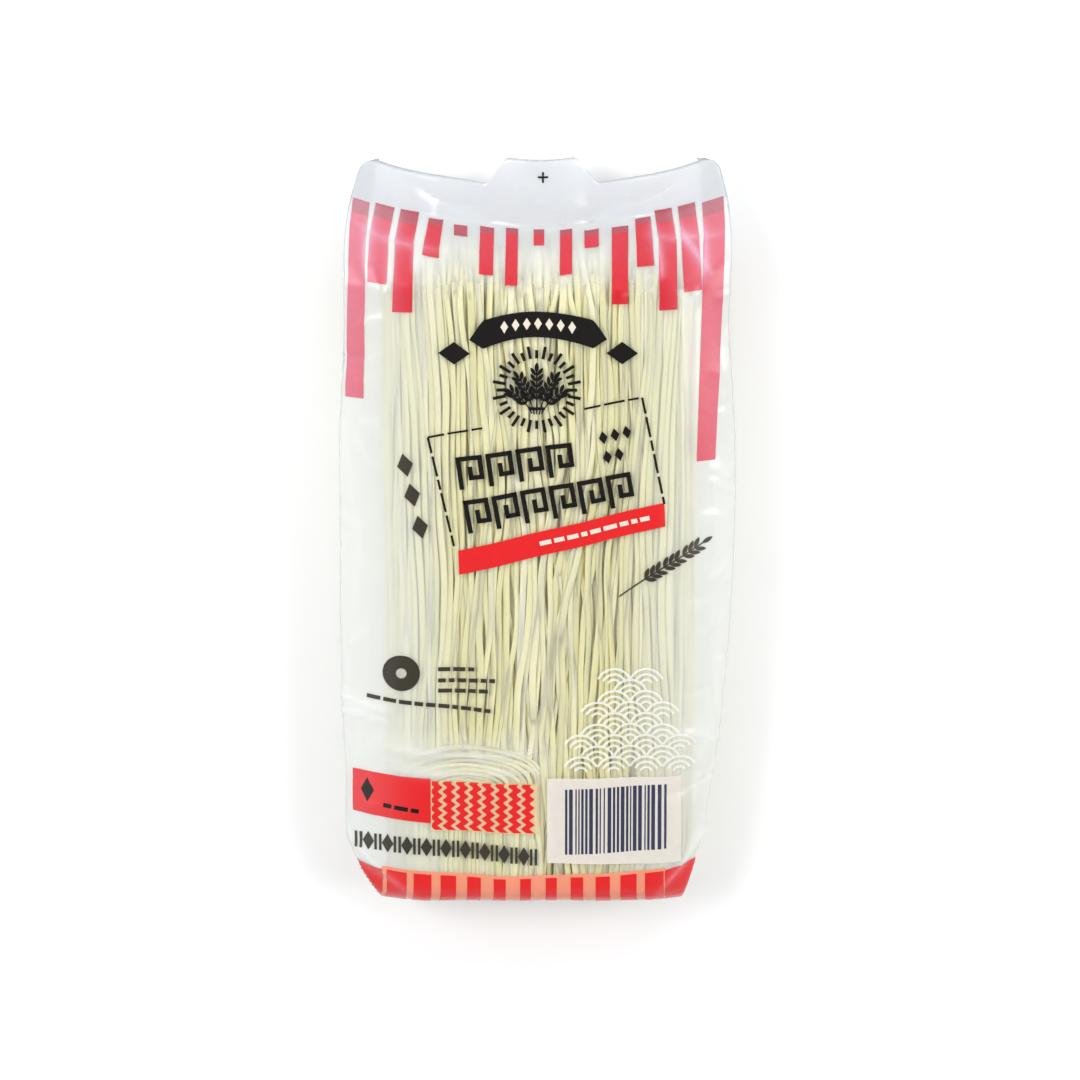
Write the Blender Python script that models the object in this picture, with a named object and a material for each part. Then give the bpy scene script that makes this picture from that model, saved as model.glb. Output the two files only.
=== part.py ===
"""A clear film bag of dried rice noodles, lying on its back.

Metres, +Z up. +X is the bag's right side as its front is read, +Y runs to the header with the hang tab,
and the printed front faces +Z. The origin is under the middle of the bag, on the surface that it lies on.
The bag is one sealed piece, so it is one closed solid: a loft of unlike cross-sections, from the folded
foot, through the body with a pleat along each side, to the flat header.
"""

import bpy
import numpy as np

TURN = 2.0 * np.pi

# Driving dimensions
FOOT_Y = -0.1435
HEADER_EDGE = 0.1435
CROWN_HEIGHT = 0.0405
CROWN_FALL = 0.0035
FRONT_FOLD_HEIGHT = 0.0300
BACK_FOLD_HEIGHT = 0.0070
BUNDLE_HALF_WIDTH = 0.0580
PLEAT_HEIGHT = 0.0180

# Header: two layers of film pressed flat, with a hang tab in the middle
HEADER_HEIGHT = 0.0140
HEADER_THICKNESS = 0.0012
HEADER_FOOT = 0.1286
HEADER_WAVE = 0.0022
HEADER_WAVE_LENGTH = 0.052
HEADER_SECOND_WAVE = 0.5
HEADER_SECOND_LENGTH = 0.0884
HEADER_SECOND_PHASE = 0.8
TAB_RISE = 0.0110
TAB_CENTRE = 0.0015
TAB_HALF_WIDTH = 0.0190
TAB_SHOULDER = 0.0110
CORNER_RADIUS = 0.0050

# Shoulder: where the film comes down over the ends of the noodles to the header
SHOULDER_START = 0.0980
SHOULDER_POWER = 1.5
SHOULDER_LAG = 0.0110
LAG_START = 0.0800
TAB_LINE_HALF_WIDTH = 0.0700
SHOULDER_PLEATS = 0.0011
SHOULDER_PLEAT_LENGTH = 0.0215
SHOULDER_PLEAT_PHASE = 0.6

# Foot: the film folded under the lower end, a blunt block with slanting corners
FOOT_START = -0.1330
FOOT_MIDDLE_HEIGHT = 0.0165
FOOT_ROUNDNESS = 2.6
FOOT_FACE_SHARE = 0.45
PLEAT_FADE = 0.0300

# The front's fall from the crown to the side folds: gentle all the way, then steep beyond the noodles
GENTLE_FALL = 0.12
STEEP_START = 0.70
STEEP_POWER = 1.7
CROWN_CENTRE = -0.0300
CROWN_REACH = 0.1300

# The back's rise to the side folds
RISE_START = 0.80
RISE_POWER = 1.6

# Long, low rolls where the hanks of noodles lie side by side under the film
HANK_WIDTH = 0.0330
HANK_RELIEF = 0.0011
HANK_LEAN = 0.05

# Film coordinate along the bag, then the distance of the left and the right fold from the centre line
FOLD_STATIONS = (
    (-0.1435, 0.0580, 0.0545),
    (-0.1240, 0.0695, 0.0605),
    (-0.0880, 0.0725, 0.0672),
    (-0.0450, 0.0740, 0.0718),
    (0.0000, 0.0740, 0.0740),
    (0.0400, 0.0738, 0.0740),
    (0.0850, 0.0720, 0.0716),
    (0.1250, 0.0702, 0.0715),
    (0.1435, 0.0650, 0.0672),
)

# Mesh density
FRONT_STEPS = 30
BACK_STEPS = 18
PLEAT_STEPS = 4
BODY_RINGS = 34
SHOULDER_RINGS = 15
HEADER_RINGS = 9
FOOT_RINGS = 8


def smooth(t):
    """An S-shaped ramp from 0 to 1 as t goes from 0 to 1."""
    t = np.clip(t, 0.0, 1.0)
    return t * t * (3.0 - 2.0 * t)


def through_stations(at, places, values):
    """A smooth curve through the stations: cubic pieces, with the mean slope of both neighbours at each."""
    places = np.asarray(places)
    values = np.asarray(values)
    slopes = np.gradient(values, places)
    at = np.clip(at, places[0], places[-1])
    k = np.clip(np.searchsorted(places, at) - 1, 0, len(places) - 2)
    span = places[k + 1] - places[k]
    t = (at - places[k]) / span
    start = values[k] * (1 + 2 * t) * (1 - t) ** 2 + slopes[k] * span * t * (1 - t) ** 2
    end = values[k + 1] * t * t * (3 - 2 * t) - slopes[k + 1] * span * t * t * (1 - t)
    return start + end


def fold_distances(along):
    """How far the left and the right fold lie from the centre line, with the header's corners rounded."""
    places, left, right = np.array(FOLD_STATIONS).T
    past = np.clip((along - HEADER_EDGE + CORNER_RADIUS) / CORNER_RADIUS, 0.0, 1.0)
    rounding = CORNER_RADIUS * (1.0 - np.sqrt(1.0 - past * past))
    return through_stations(along, places, left) - rounding, through_stations(along, places, right) - rounding


def shoulder_share(along):
    """0 in the body, 1 in the header, and in between the share of the way down the shoulder."""
    return np.clip((along - SHOULDER_START) / (HEADER_FOOT - SHOULDER_START), 0.0, 1.0)


def foot_share(along):
    """1 in the body, and the height that is left of the section as the foot rounds to its end face."""
    t = np.clip((FOOT_START - along) / (FOOT_START - FOOT_Y), 0.0, 1.0)
    return (1.0 - t**FOOT_ROUNDNESS) ** (1.0 / FOOT_ROUNDNESS)


def header_sheet(x, along):
    """The wavy height of the header's middle plane."""
    growth = smooth((along - SHOULDER_START) / (HEADER_EDGE - SHOULDER_START))
    first = np.cos(TURN * x / HEADER_WAVE_LENGTH)
    second = HEADER_SECOND_WAVE * np.sin(TURN * x / HEADER_SECOND_LENGTH + HEADER_SECOND_PHASE)
    return HEADER_HEIGHT + HEADER_WAVE * growth * (first + second)


def crown(x, along):
    """The height of the front over the noodles, with a long low roll for each hank."""
    fall = CROWN_FALL * ((along - CROWN_CENTRE) / CROWN_REACH) ** 2
    roll = -0.5 * np.cos(TURN * (x + HANK_LEAN * along) / HANK_WIDTH)
    return CROWN_HEIGHT - fall + HANK_RELIEF * roll


def front_height(across, x, along):
    """Front film: nearly level over the noodles, then falling away to the fold at each side."""
    down = shoulder_share(along)
    closing = down**SHOULDER_POWER
    reach = np.abs(across)
    steep = np.clip((reach - STEEP_START) / (1.0 - STEEP_START), 0.0, 1.0) ** STEEP_POWER
    drop = GENTLE_FALL * reach**2 + (1.0 - GENTLE_FALL) * steep
    body = FRONT_FOLD_HEIGHT + (crown(x, along) - FRONT_FOLD_HEIGHT) * (1.0 - drop)
    pleat = np.sin(TURN * x / SHOULDER_PLEAT_LENGTH + SHOULDER_PLEAT_PHASE) * np.sin(np.pi * down) ** 2
    flat = header_sheet(x, along) + HEADER_THICKNESS / 2
    return body + (flat - body) * closing + SHOULDER_PLEATS * pleat


def back_height(across, x, along):
    """Back film: flat on the surface, turned up at each side and lifted to the header."""
    closing = shoulder_share(along) ** SHOULDER_POWER
    rise = np.clip((np.abs(across) - RISE_START) / (1.0 - RISE_START), 0.0, 1.0) ** RISE_POWER
    flat = header_sheet(x, along) - HEADER_THICKNESS / 2
    body = BACK_FOLD_HEIGHT * rise
    return body + (flat - body) * closing


def along_y(across, along):
    """Where a line straight across the film lies: its middle lags behind, as it climbs over the noodles."""
    lag = SHOULDER_LAG * (1.0 - across**2) * smooth((along - LAG_START) / (HEADER_FOOT - LAG_START))
    x = across * TAB_LINE_HALF_WIDTH - TAB_CENTRE
    tab = TAB_RISE * (1.0 - smooth((np.abs(x) - TAB_HALF_WIDTH + TAB_SHOULDER / 2) / TAB_SHOULDER))
    rising = smooth((along - HEADER_FOOT) / (HEADER_EDGE - HEADER_FOOT))
    return along - lag + tab * rising


def section(along):
    """One closed ring of points round the bag: the front from left to right, the right pleat, the back and
    the left pleat. A pleat is as deep as the margin that the noodles leave inside the fold."""
    left, right = fold_distances(along)
    down = shoulder_share(along)
    fade = (1.0 - down**3) * smooth((along - FOOT_Y) / PLEAT_FADE)
    front = np.sin(0.5 * np.pi * np.linspace(-1.0, 1.0, FRONT_STEPS + 1))
    back = np.sin(0.5 * np.pi * np.linspace(1.0, -1.0, BACK_STEPS + 1))
    leg = np.linspace(0.0, 1.0, PLEAT_STEPS + 1)[1:-1]

    def place(across):
        return np.where(across < 0, across * left, across * right)

    front_x, back_x = place(front), place(back)
    front_z = front_height(front, front_x, along)
    back_z = back_height(back, back_x, along)
    front_ring = np.stack([front_x, along_y(front, along), front_z], axis=1)
    back_ring = np.stack([back_x, along_y(back, along), back_z], axis=1)

    def pleat(start, end, inward):
        depth = max(abs(start[0]) - BUNDLE_HALF_WIDTH, 0.0) * fade
        mid = (start + end) / 2
        mid[2] += (PLEAT_HEIGHT - mid[2]) * (1.0 - down) ** 2
        inner = mid + np.array([inward * depth, 0.0, 0.0])
        first = start + (inner - start) * leg[:, None]
        second = inner + (end - inner) * leg[:, None]
        return np.vstack([first, inner[None], second])

    right_ring = pleat(front_ring[-1], back_ring[0], -1.0)
    left_ring = pleat(back_ring[-1], front_ring[0], 1.0)
    ring = np.vstack([front_ring, right_ring, back_ring, left_ring])
    share = foot_share(along)
    ring[:, 2] = FOOT_MIDDLE_HEIGHT + (ring[:, 2] - FOOT_MIDDLE_HEIGHT) * share
    return ring


def stations():
    """The places of the rings: close where the foot rounds and where the shoulder bends."""
    end = (1.0 - FOOT_FACE_SHARE**FOOT_ROUNDNESS) ** (1.0 / FOOT_ROUNDNESS)
    turn = np.linspace(end, 0.0, FOOT_RINGS)
    foot = FOOT_START - (FOOT_START - FOOT_Y) * turn
    body = np.linspace(FOOT_START, SHOULDER_START, BODY_RINGS)[1:]
    shoulder = np.linspace(SHOULDER_START, HEADER_FOOT, SHOULDER_RINGS)[1:]
    header = np.linspace(HEADER_FOOT, HEADER_EDGE, HEADER_RINGS)[1:]
    return np.concatenate([foot, body, shoulder, header])


def end_cap(first, count):
    """Faces that close one end ring: quads between the front and the back, and a fan at each pleat."""
    front = list(range(FRONT_STEPS + 1))
    back = [FRONT_STEPS + 2 * PLEAT_STEPS + BACK_STEPS - k for k in range(BACK_STEPS + 1)]
    faces = []
    i, j = 0, 0
    while i < FRONT_STEPS or j < BACK_STEPS:
        if j == BACK_STEPS or (i < FRONT_STEPS and (i + 1) / FRONT_STEPS <= (j + 1) / BACK_STEPS):
            faces.append((front[i], front[i + 1], back[j]))
            i += 1
        else:
            faces.append((front[i], back[j + 1], back[j]))
            j += 1
    right = list(range(FRONT_STEPS, FRONT_STEPS + 2 * PLEAT_STEPS + 1))
    left = list(range(FRONT_STEPS + 2 * PLEAT_STEPS + BACK_STEPS, count)) + [0]
    faces.append(tuple(right))
    faces.append(tuple(left))
    return [tuple(first + k for k in face) for face in faces]


def make_bag():
    """Builds the bag from its rings and closes both ends."""
    rings = [section(along) for along in stations()]
    count = len(rings[0])
    points = np.vstack(rings)
    faces = []
    for row in range(len(rings) - 1):
        for k in range(count):
            a = row * count + k
            b = row * count + (k + 1) % count
            faces.append((a, b, b + count, a + count))
    foot_cap = end_cap(0, count)
    header_cap = end_cap((len(rings) - 1) * count, count)
    faces += [tuple(reversed(face)) for face in foot_cap]
    faces += header_cap
    mesh = bpy.data.meshes.new("bag")
    mesh.from_pydata(points.tolist(), [], faces)
    mesh.validate()
    mesh.shade_smooth()
    mesh.set_sharp_from_angle(angle=np.radians(40.0))
    return bpy.data.objects.new("bag", mesh)


def film_material():
    """Clear film over pale straw-coloured noodles."""
    material = bpy.data.materials.new("clear film over rice noodles")
    material.use_nodes = True
    shader = material.node_tree.nodes["Principled BSDF"]
    shader.inputs["Base Color"].default_value = (0.72, 0.69, 0.52, 1.0)
    shader.inputs["Roughness"].default_value = 0.25
    shader.inputs["Metallic"].default_value = 0.0
    return material


def main():
    for old in list(bpy.data.objects):
        bpy.data.objects.remove(old)
    collection = bpy.data.collections.new("bag of rice noodles")
    bpy.context.scene.collection.children.link(collection)
    bag = make_bag()
    bag.data.materials.append(film_material())
    collection.objects.link(bag)


main()
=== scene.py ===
"""A clear film bag of dried rice noodles, lying on its back: the film, its print and the noodles in it.

Metres, +Z up. +X is the bag's right side as its front is read, +Y runs to the header with the hang tab,
and the printed front faces +Z. Two coordinates run in the film: girth, round the bag from the centre line
of the front, positive to the right, and along, from the foot to the header.
"""

import itertools

import bmesh
import bpy
import numpy as np
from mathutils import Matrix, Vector


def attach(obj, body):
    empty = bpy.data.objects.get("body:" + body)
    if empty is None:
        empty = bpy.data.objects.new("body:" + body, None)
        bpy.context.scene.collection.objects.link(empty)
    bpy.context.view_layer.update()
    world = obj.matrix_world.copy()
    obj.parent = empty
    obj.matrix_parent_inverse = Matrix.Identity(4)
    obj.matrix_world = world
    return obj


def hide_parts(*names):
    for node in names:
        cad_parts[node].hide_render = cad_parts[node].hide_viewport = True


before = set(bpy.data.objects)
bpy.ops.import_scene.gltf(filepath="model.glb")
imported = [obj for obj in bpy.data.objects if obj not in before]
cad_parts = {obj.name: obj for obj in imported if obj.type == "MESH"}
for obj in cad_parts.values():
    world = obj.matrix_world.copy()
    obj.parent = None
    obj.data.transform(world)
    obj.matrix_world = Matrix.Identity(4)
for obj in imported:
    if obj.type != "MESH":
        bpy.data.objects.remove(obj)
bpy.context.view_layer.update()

TAU = 2.0 * np.pi
MM = 0.001

# The bag's form, as in the CAD
FOOT_Y = -0.1435
HEADER_EDGE = 0.1435
CROWN_HEIGHT = 0.0405
CROWN_FALL = 0.0035
FRONT_FOLD_HEIGHT = 0.03
BACK_FOLD_HEIGHT = 0.007
BUNDLE_HALF = 0.058
PLEAT_HEIGHT = 0.018
HEADER_HEIGHT = 0.014
HEADER_THICKNESS = 0.0004
HEADER_FOOT = 0.1286
HEADER_WAVE = 0.0022
HEADER_WAVE_LENGTH = 0.052
TAB_RISE = 0.011
TAB_CENTRE = 0.0015
TAB_HALF_WIDTH = 0.019
TAB_SHOULDER = 0.011
CORNER_RADIUS = 0.005
SHOULDER_START = 0.098
SHOULDER_POWER = 1.5
SHOULDER_EASE = 0.08
SHOULDER_LAG = 0.011
LAG_START = 0.08
SHOULDER_PLEATS = 0.0011
SHOULDER_PLEAT_LENGTH = 0.0215
FOOT_START = -0.133
FOOT_MIDDLE_HEIGHT = 0.0165
FOOT_ROUNDNESS = 2.6
HANK_WIDTH = 0.033
HANK_RELIEF = 0.0011
FOLD_STATIONS = (
    (-0.1435, 0.058, 0.0545),
    (-0.124, 0.0695, 0.0605),
    (-0.088, 0.0725, 0.0672),
    (-0.045, 0.074, 0.0718),
    (0.0000, 0.074, 0.074),
    (0.04, 0.0738, 0.074),
    (0.085, 0.072, 0.0716),
    (0.125, 0.0702, 0.0715),
    (0.1435, 0.065, 0.0672),
)

# The film as a sheet: half the front, one leg of a side pleat, and half the way round
FRONT_HALF = 0.074
PLEAT_LEG = 0.02
GIRTH_HALF = 2 * FRONT_HALF + 2 * PLEAT_LEG
RESTING_SHARE = 0.6
MARGIN_HAZE = (0.44, 0.36)
SHOULDER_HAZE = 0.66
SEAL_HAZE = 0.18
PUCKER_HIGHLIGHT_PAINT = 0.16
LOWER_LEFT_HAZE = 0.18
BACK_SEAL_HAZE = 0.35
# Where the header's painted shade, a greyer and bluer white, begins and how far it takes to come in
HEADER_SHADE_START = 0.118
HEADER_SHADE_LENGTH = 0.014
FACE_MIDDLES = (0.0, GIRTH_HALF, -GIRTH_HALF)
FILM_COLUMNS = 376
FOOT_ROWS = 16
BODY_ROWS = 226

# Noodles: flat rice sticks, laid lengthwise and folded round the foot. Pairs of clearances are from the
# front and from the back film. The core's depths are from the sides, the front and the back
STRAND_SIDES = 8
STRAND_SQUARENESS = 0.6
NOODLE_CLEARANCE = 0.0013
SHOULDER_CLEARANCE = 0.0016
NOODLE_LAYER = 0.001
BUNDLE_SIDES = (0.0572, 0.0586)
SIDE_CLEARANCE = 0.003
FOOT_ARC = 0.046
EDGE_ROUNDING = 0.0085
THICKNESSES = (0.75, 1.0)
TONE_SPREAD = 0.35
SIDE_NOODLE_CLEARANCE = (0.003, 0.0022)
CUT_END_CLEARANCE = (0.0092, 0.0018)
CORE_DEPTH = (0.0062, 0.0076, 0.0068)
STRAND_RINGS = ((0.0, 0.45, 46), (0.45, 0.57, 18), (0.57, 1.0, 21))

# Camera and picture
VIEW_TILT = np.radians(16.0)
CAMERA_DISTANCE = 2.6
PICTURE_HEIGHT = 0.4036
PICTURE_CENTRE_X = 0.0011
PICTURE_CENTRE_UP = -0.0079
SENSOR = 36.0
FLOOR_HALF = 2.5
FLOOR_DROP = 0.0004


# Small helpers


def clamp(t):
    """Keeps values between 0 and 1."""
    return np.clip(t, 0.0, 1.0)


def smooth(t):
    """An S-shaped ramp from 0 to 1 as t goes from 0 to 1."""
    t = clamp(t)
    return t * t * (3.0 - 2.0 * t)


def wave(at, length, phase):
    """A sine wave of a given length."""
    return np.sin(TAU * at / length + phase)


def through_stations(at, places, values):
    """A smooth curve through stations: cubic pieces whose slopes are the mean slopes beside each."""
    slopes = np.gradient(values, places)
    at = np.clip(at, places[0], places[-1])
    k = np.clip(np.searchsorted(places, at) - 1, 0, len(places) - 2)
    span = places[k + 1] - places[k]
    t = (at - places[k]) / span
    start = values[k] * (1 + 2 * t) * (1 - t) ** 2 + slopes[k] * span * t * (1 - t) ** 2
    end = values[k + 1] * t * t * (3 - 2 * t) - slopes[k + 1] * span * t * t * (1 - t)
    return start + end


def signed_power(value, power):
    """A power of the size of a value, with the value's sign: of a sine or cosine, it squares a circle."""
    return np.sign(value) * np.abs(value) ** power


def unit(vectors):
    """Vectors of length 1 in the same directions."""
    return vectors / np.maximum(np.linalg.norm(vectors, axis=-1, keepdims=True), 1e-12)


def linear(hex_colour):
    """An sRGB hex colour as a linear RGBA tuple."""
    channels = [int(hex_colour[k : k + 2], 16) / 255.0 for k in (0, 2, 4)]
    curve = [c / 12.92 if c <= 0.04045 else ((c + 0.055) / 1.055) ** 2.4 for c in channels]
    return (*curve, 1.0)


# The bag's smooth form


def fold_distance(side, along):
    """How far a side's fold lies from the centre line, with the header's corners rounded."""
    places, left, right = np.array(FOLD_STATIONS).T
    past = clamp((along - HEADER_EDGE + CORNER_RADIUS) / CORNER_RADIUS)
    rounding = CORNER_RADIUS * (1.0 - np.sqrt(1.0 - past * past))
    curves = [through_stations(along, places, values) for values in (left, right)]
    return np.where(side < 0, *curves) - rounding


def shoulder_share(along):
    """0 in the body, 1 in the header, and in between the share of the way down the shoulder."""
    return clamp((along - SHOULDER_START) / (HEADER_FOOT - SHOULDER_START))


def shoulder_fall(along):
    """How far the film has come down to the header: a power of the shoulder's share, eased at first."""
    down = shoulder_share(along)
    eased = np.sqrt(down**2 + SHOULDER_EASE**2) - SHOULDER_EASE
    return (eased / (np.sqrt(1.0 + SHOULDER_EASE**2) - SHOULDER_EASE)) ** SHOULDER_POWER


def foot_share(along):
    """1 in the body, and what is left of the section's height as the foot rounds to its end face."""
    t = clamp((FOOT_START - along) / (FOOT_START - FOOT_Y))
    return (1.0 - t**FOOT_ROUNDNESS) ** (1.0 / FOOT_ROUNDNESS)


def header_sheet(x, along):
    """The wavy height of the header's middle plane."""
    growth = smooth((along - SHOULDER_START) / (HEADER_EDGE - SHOULDER_START))
    waves = np.cos(TAU * x / HEADER_WAVE_LENGTH) + 0.5 * wave(x, 1.7 * HEADER_WAVE_LENGTH, 0.8)
    return HEADER_HEIGHT + HEADER_WAVE * growth * waves


def header_gap(along):
    """Half the distance between the header's two layers, which meet at its edge."""
    return 0.5 * HEADER_THICKNESS * clamp((HEADER_EDGE - along) / 0.0012)


def crown(x, along):
    """Height of the front over the noodles, with a long low roll for each hank."""
    fall = CROWN_FALL * ((along + 0.03) / 0.13) ** 2
    roll = 0.5 - 0.5 * np.cos(TAU * (x + 0.05 * along) / HANK_WIDTH)
    return CROWN_HEIGHT - fall + HANK_RELIEF * (roll - 0.5)


def front_height(across, x, along):
    """Front film: nearly level over the noodles, falling away to the fold at each side."""
    down = shoulder_share(along)
    closing = shoulder_fall(along)
    reach = np.abs(across)
    drop = 0.12 * reach**2 + 0.88 * clamp((reach - 0.7) / 0.3) ** 1.7
    body = FRONT_FOLD_HEIGHT + (crown(x, along) - FRONT_FOLD_HEIGHT) * (1.0 - drop)
    pleat = wave(x, SHOULDER_PLEAT_LENGTH, 0.6) * np.sin(np.pi * down) ** 2
    flat = header_sheet(x, along) + header_gap(along)
    return body + (flat - body) * closing + SHOULDER_PLEATS * pleat


def back_height(across, x, along):
    """Back film: flat on the surface, turned up at each side and lifted to the header."""
    closing = shoulder_fall(along)
    rise = clamp((np.abs(across) - 0.8) / 0.2) ** 1.6
    flat = header_sheet(x, along) - header_gap(along)
    body = BACK_FOLD_HEIGHT * rise
    return body + (flat - body) * closing


def shoulder_lag(across, along):
    """How far the middle of the film lags behind its sides as it climbs over the noodles."""
    return SHOULDER_LAG * (1.0 - across**2) * smooth((along - LAG_START) / (HEADER_FOOT - LAG_START))


def along_y(across, along):
    """Where a line straight across the film lies: its middle lags, and the hang tab stands out."""
    x = across * 0.07 - TAB_CENTRE
    tab = TAB_RISE * (1.0 - smooth((np.abs(x) - TAB_HALF_WIDTH + TAB_SHOULDER / 2) / TAB_SHOULDER))
    rising = smooth((along - HEADER_FOOT) / (HEADER_EDGE - HEADER_FOOT))
    return along - shoulder_lag(across, along) + tab * rising


def bag_points(girth, along):
    """The smooth bag at film coordinates: front, the two legs of the side pleat, back."""
    fold = fold_distance(girth, along)
    side = np.where(girth < 0, -1.0, 1.0)
    reach = np.abs(girth)
    front_across = np.clip(girth / FRONT_HALF, -1.0, 1.0)
    back_across = side * clamp((GIRTH_HALF - reach) / FRONT_HALF)
    front_x = front_across * fold
    back_x = back_across * fold
    front_z = front_height(front_across, front_x, along)
    front = np.stack([front_x, along_y(front_across, along), front_z], axis=-1)
    back = np.stack([back_x, along_y(back_across, along), back_height(back_across, back_x, along)], axis=-1)
    down = shoulder_share(along)
    inner = (front + back) / 2
    inner[..., 0] -= side * np.clip(fold - BUNDLE_HALF, 0.0, None) * (1.0 - 0.25 * down)
    inner[..., 2] += (PLEAT_HEIGHT - inner[..., 2]) * (1.0 - down) ** 2
    leg = ((reach - FRONT_HALF) / PLEAT_LEG)[..., None]
    pleat = np.where(leg < 1.0, front + (inner - front) * leg, inner + (back - inner) * (leg - 1.0))
    on_front = (reach <= FRONT_HALF)[..., None]
    on_back = (reach >= FRONT_HALF + 2 * PLEAT_LEG)[..., None]
    points = np.where(on_front, front, np.where(on_back, back, pleat))
    points[..., 2] = FOOT_MIDDLE_HEIGHT + (points[..., 2] - FOOT_MIDDLE_HEIGHT) * foot_share(along)
    return points


def grid_normals(points):
    """Outward normals of a grid whose rows run along the bag and whose columns go round it."""
    round_it = np.gradient(points, axis=1)
    along_it = np.gradient(points, axis=0)
    return unit(np.cross(round_it, along_it))


# Folds and wrinkles in the film


def crease(girth, along, start, end, height, width, bow=0.0):
    """A fold from start to end, bowed by a share of its length: height * exp(-distance / width), fading at
    both ends."""
    run = (end[0] - start[0], end[1] - start[1])
    length = np.hypot(*run)
    from_start = (girth - start[0], along - start[1])
    t = (from_start[0] * run[0] + from_start[1] * run[1]) / length**2
    off_line = (from_start[0] * run[1] - from_start[1] * run[0]) / length
    distance = np.abs(off_line - bow * length * 4.0 * t * (1.0 - t))
    fade = np.sin(np.pi * clamp(t)) ** 0.7
    return height * np.exp(-distance / width) * fade


def shoulder_creases(rng):
    """Folds that fan from the header's foot down over the noodles' ends, front and back."""
    for middle in FACE_MIDDLES:
        for offset in np.linspace(-0.066, 0.066, 17):
            top = middle + offset + rng.normal(0, 0.002)
            low = middle + offset * 0.93 + rng.normal(0, 0.005)
            height = rng.choice([-1, 1]) * rng.uniform(0.35, 0.95) * MM
            start = (top, rng.uniform(0.127, 0.136))
            end = (low, rng.uniform(0.083, 0.108))
            yield start, end, height, rng.uniform(1.4, 3.4) * MM, rng.normal(0, 0.05)


def margin_puckers(rng):
    """Short slanting puckers in the slack film beside the noodles, and longer ones down the margins."""
    for side in (-1.0, 1.0):
        for _ in range(64):
            middle = np.array([side * rng.uniform(0.06, 0.126), rng.uniform(-0.128, 0.112)])
            lean = side * rng.uniform(-0.9, 0.9)
            half = rng.uniform(4.0, 10.0) * MM * np.array([np.cos(lean), np.sin(lean)])
            height = rng.choice([-1, 1]) * rng.uniform(0.15, 0.55) * MM
            width = rng.uniform(0.9, 2.2) * MM
            yield middle - half, middle + half, height, width, rng.normal(0, 0.08)
        for _ in range(16):
            start = np.array([side * rng.uniform(0.062, 0.074), rng.uniform(-0.12, 0.1)])
            run = [side * rng.uniform(-0.004, 0.004), rng.choice([-1, 1]) * rng.uniform(0.02, 0.05)]
            yield start, start + run, rng.uniform(-0.5, 0.5) * MM, 1.6 * MM, rng.normal(0, 0.03)


def lengthwise_ripples(rng):
    """Long faint ripples where the film is drawn over the noodles, front and back."""
    for middle in FACE_MIDDLES:
        for _ in range(70):
            x = middle + rng.uniform(-0.058, 0.058)
            centre = rng.uniform(-0.11, 0.09)
            half = rng.uniform(0.012, 0.045)
            lean = rng.normal(0, 0.05) * half
            height = rng.uniform(-0.16, 0.24) * MM
            start, end = (x - lean, centre - half), (x + lean, centre + half)
            yield start, end, height, rng.uniform(0.7, 1.6) * MM, rng.normal(0, 0.015)


# Start, end, height and width in millimetres, bow, and how strong a highlight is painted white along the fold
SET_FOLDS = (
    ((-64.7, 128.5), (-65.0, 102.0), 1.0, 1.5, 0.02, 0.45),
    ((-54.5, 128.5), (-56.2, 100.0), 1.1, 1.5, 0.02, 0.45),
    ((-45.0, 126.5), (-46.8, 107.0), 0.8, 1.3, 0.02, 0.4),
    ((-72.0, 121.5), (-34.0, 118.5), -1.1, 1.7, 0.04, 0.22),
    ((51.7, 130.0), (67.0, 104.0), 1.1, 1.5, 0.04, 0.45),
    ((44.0, 128.5), (47.6, 105.0), 0.9, 1.4, -0.02, 0.45),
    ((73.0, 118.0), (40.0, 124.0), -1.1, 1.6, -0.04, 0.22),
    ((62.5, 129.0), (64.0, 100.0), 0.8, 1.5, -0.03, 0.3),
    ((-79.0, -59.0), (-54.0, -63.5), 0.8, 1.4, 0.06, 0.35),
    ((-78.0, -66.5), (-56.0, -69.0), 0.7, 1.4, -0.05, 0.25),
    ((-59.0, -77.5), (7.0, -79.0), 0.8, 1.5, 0.05, 0.45),
    ((-62.0, -83.0), (2.0, -82.5), -0.6, 1.4, 0.03, 0.1),
    ((-57.0, -86.8), (8.0, -86.2), 0.7, 1.4, 0.04, 0.4),
    ((-30.0, -73.0), (-16.0, -88.0), 0.5, 1.3, 0.05, 0.25),
    ((40.0, -72.0), (78.0, -78.0), 0.6, 1.6, -0.03, 0.1),
    ((50.0, -98.0), (78.0, -90.0), -0.7, 1.6, 0.05, 0.1),
    ((-78.0, -108.0), (-52.0, -142.0), 0.9, 1.7, 0.05, 0.15),
    ((78.0, -104.0), (56.0, -142.0), 1.1, 1.7, -0.05, 0.15),
    ((78.0, -118.0), (62.0, -133.0), -0.8, 1.2, -0.05, 0.1),
    ((-78.0, -123.0), (-60.0, -134.0), -0.8, 1.2, 0.05, 0.1),
    ((-20.0, 142.0), (24.0, 133.0), 0.6, 1.4, 0.06, 0.1),
    ((-52.0, 140.0), (-22.0, 133.0), -0.7, 1.5, 0.05, 0.1),
    ((26.0, 134.0), (60.0, 141.0), -0.7, 1.5, 0.05, 0.1),
)


def set_folds(girth, along):
    """Relief of the folds that show plainly, at the header, lower left and foot, and the highlights painted
    white along them.
    """
    relief, white = np.zeros_like(girth), np.zeros_like(girth)
    for *ends, height, width, bow, painted_highlight in SET_FOLDS:
        start, end = np.array(ends) * MM
        relief += crease(girth, along, start, end, height * MM, width * MM, bow)
        # The fold's painted highlight: a narrow white line along it
        white += crease(girth, along, start, end, painted_highlight, 1.1 * MM, bow)
    return relief, white


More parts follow.
